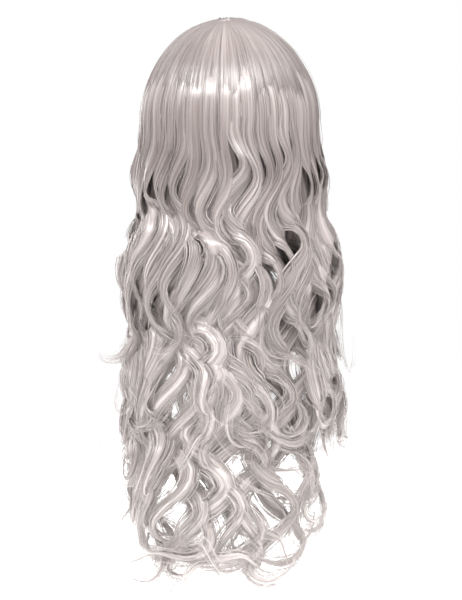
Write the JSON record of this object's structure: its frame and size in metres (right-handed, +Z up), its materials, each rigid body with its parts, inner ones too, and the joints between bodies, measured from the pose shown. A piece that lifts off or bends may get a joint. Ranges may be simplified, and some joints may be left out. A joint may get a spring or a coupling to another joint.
{
  "type": "costume wig",
  "caption": "Long wavy grey costume wig on a machine-sewn open-weft cap, with a fringe, layered falling hair, bendable ear tabs and hooked nape straps.",
  "frame": {"origin": "the point where the top of the wearer's head touches the inside of the cap", "axes": "+Z up, -Y the way the face looks, +X the wearer's left"},
  "size_m": [0.2248, 0.2413, 0.5836],
  "materials": {
    "hair": "silky grey synthetic fibre",
    "hair_shade": "silky darker grey synthetic fibre",
    "lace": "matt stretch net and lace tape",
    "band": "matt woven band",
    "skin": "matt coated fabric",
    "weft": "sewn fibre",
    "clear_plastic": "milky nylon",
    "label": "satin ribbon, blank"
  },
  "bodies": {
    "cap": {"skin_top": "skin", "crown_net": "lace", "front_net": "lace", "front_band": "band", "lace_rib_1": "lace", "lace_rib_2": "lace", "lace_rib_3": "lace", "lace_rib_4": "lace", "lace_rib_5": "lace", "lace_rib_6": "lace", "lace_rib_7": "lace", "nape_band": "band", "left_side_band": "band", "right_side_band": "band", "left_loop_tape": "lace", "right_loop_tape": "lace", "size_label": "label", "weft_track_1": "weft", "weft_track_2": "weft", "weft_track_3": "weft", "weft_track_4": "weft", "weft_track_5": "weft", "weft_track_6": "weft", "weft_track_7": "weft", "weft_track_8": "weft", "weft_track_9": "weft", "weft_track_10": "weft", "crown_hair": "hair", "left_upper_hair": "hair", "right_upper_hair": "hair", "back_upper_hair": "hair"},
    "fringe": {"fringe_hair": "hair"},
    "back_fall": {"back_bend_hair": "hair_shade", "back_outer_locks": "hair", "back_middle_locks": "hair", "back_inner_locks": "hair_shade"},
    "left_fall": {"left_bend_hair": "hair_shade", "left_outer_locks": "hair", "left_inner_locks": "hair_shade"},
    "right_fall": {"right_bend_hair": "hair_shade", "right_outer_locks": "hair", "right_inner_locks": "hair_shade"},
    "left_tab": {"left_ear_tab": "band", "left_ear_stay": "clear_plastic"},
    "right_tab": {"right_ear_tab": "band", "right_ear_stay": "clear_plastic"},
    "left_adjuster": {"left_strap_hook": "clear_plastic", "left_strap": "band"},
    "right_adjuster": {"right_strap_hook": "clear_plastic", "right_strap": "band"}
  },
  "joints": [
    {"name": "fringe_lift", "type": "hinge", "parent": "cap", "child": "fringe", "pos_m": [0, -0.09727, -0.0516], "axis": [-1, 0, 0], "range_deg": [0, 60]},
    {"name": "back_swing", "type": "hinge", "parent": "cap", "child": "back_fall", "pos_m": [0, 0.101, -0.15], "axis": [1, 0, 0], "range_deg": [0, 38]},
    {"name": "left_swing", "type": "hinge", "parent": "cap", "child": "left_fall", "pos_m": [0.0865, -0.01, -0.15], "axis": [0, -1, 0], "range_deg": [0, 35]},
    {"name": "right_swing", "type": "hinge", "parent": "cap", "child": "right_fall", "pos_m": [-0.0865, -0.01, -0.15], "axis": [0, 1, 0], "range_deg": [0, 35]},
    {"name": "left_tab_bend", "type": "hinge", "parent": "cap", "child": "left_tab", "pos_m": [0.07278, -0.03648, -0.09074], "axis": [0.3094, 0.9509, -0.0053], "range_deg": [-3, 22]},
    {"name": "right_tab_bend", "type": "hinge", "parent": "cap", "child": "right_tab", "pos_m": [-0.07278, -0.03648, -0.09074], "axis": [0.3094, -0.9509, 0.0053], "range_deg": [-3, 22]},
    {"name": "left_strap_slide", "type": "slide", "parent": "cap", "child": "left_adjuster", "axis": [-0.8646, 0.4405, -0.2418], "range_m": [0, 0.012], "deforming": ["left_strap"]},
    {"name": "right_strap_slide", "type": "slide", "parent": "cap", "child": "right_adjuster", "axis": [0.8646, 0.4405, -0.2418], "range_m": [0, 0.012], "deforming": ["right_strap"]}
  ]
}
